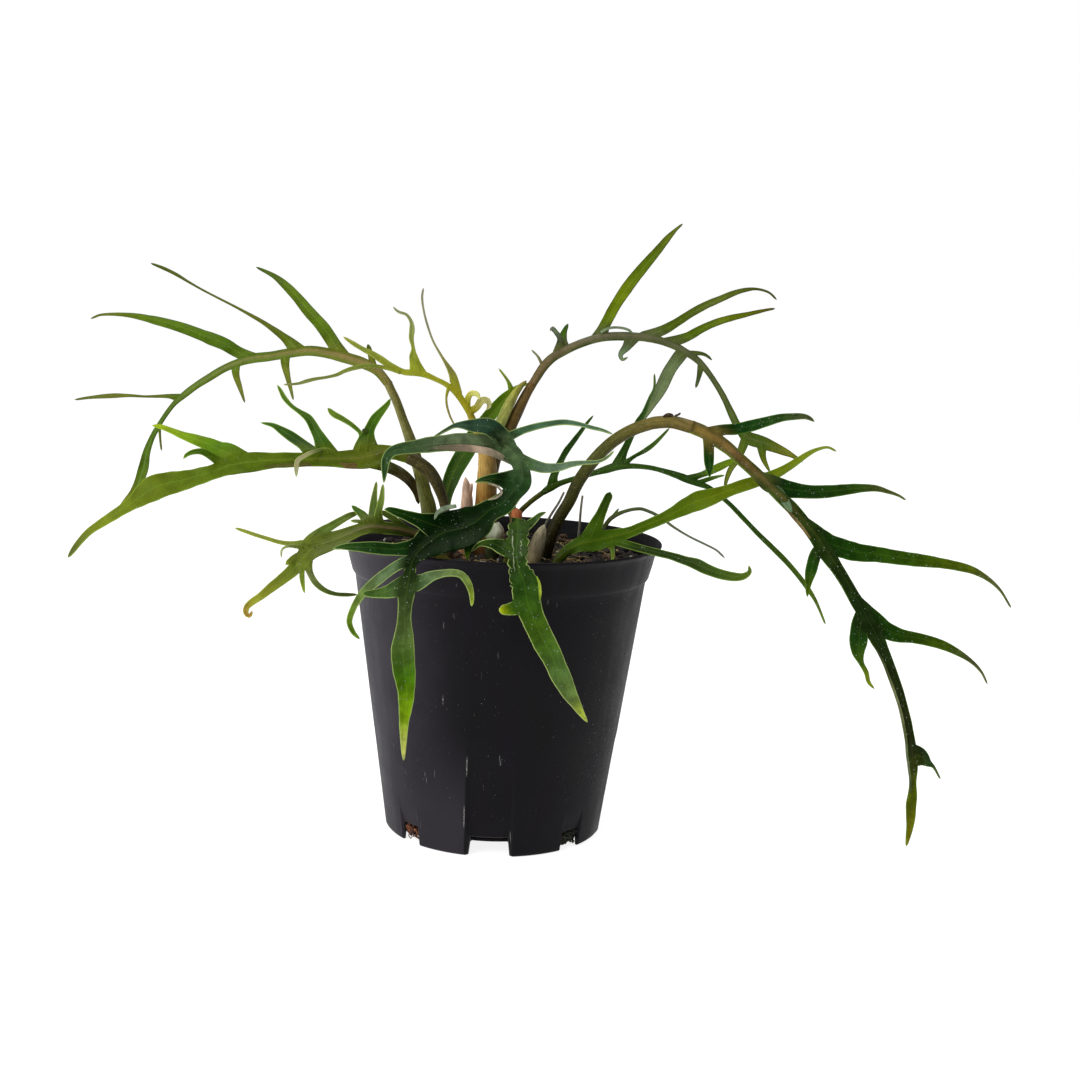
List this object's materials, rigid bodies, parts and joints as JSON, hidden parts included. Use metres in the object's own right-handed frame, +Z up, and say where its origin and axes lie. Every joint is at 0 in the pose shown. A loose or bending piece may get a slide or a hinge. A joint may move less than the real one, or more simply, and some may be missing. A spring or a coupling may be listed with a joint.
{
  "type": "potted philodendron",
  "caption": "Potted philodendron with long arching leaves cut into narrow pointed lobes, in a plain tapered nursery pot.",
  "frame": {"origin": "centre of the pot's foot circle, on the plane that the pot stands on", "axes": "+Z up along the pot's axis; +X towards the long drooping leaf at the right of the picture; +Y away from the side that the picture shows"},
  "size_m": [0.3719, 0.1605, 0.2311],
  "materials": {
    "pot": "charcoal moulded plastic, slightly glossy",
    "soil": "damp bark and fibre potting mix",
    "stem": "smooth yellow-orange stem",
    "dry": "dry sheaths, stub and threads",
    "stalk": "olive-brown leaf stalks",
    "blade_light": "mid green to lime leaf blades",
    "blade_dark": "dark green glossy leaf blades",
    "blade_young": "lime-yellow young leaf"
  },
  "bodies": {
    "root": {"pot": "pot", "soil": "soil", "stem": "stem", "sheath": "dry", "stub": "dry", "bract": "dry", "cataphyll": "dry", "thread_left": "dry", "thread_right": "dry", "leaf_a_stalk": "stalk", "leaf_a_blade": "blade_light", "leaf_b_stalk": "stalk", "leaf_b_blade": "blade_light", "leaf_c_stalk": "stalk", "leaf_c_blade": "blade_light", "leaf_d_stalk": "stalk", "leaf_d_blade": "blade_dark", "leaf_f_stalk": "stalk", "leaf_f_blade": "blade_light", "leaf_g_stalk": "stalk", "leaf_g_blade": "blade_dark", "leaf_h_stalk": "stalk", "leaf_h_blade": "blade_light", "leaf_i_stalk": "stalk", "leaf_i_blade": "blade_light", "leaf_j_stalk": "stalk", "leaf_j_blade": "blade_young", "leaf_k_stalk": "stalk", "leaf_k_blade": "blade_light", "leaf_l_stalk": "stalk", "leaf_l_blade": "blade_dark", "leaf_m_stalk": "stalk", "leaf_m_blade": "blade_light"}
  },
  "joints": []
}
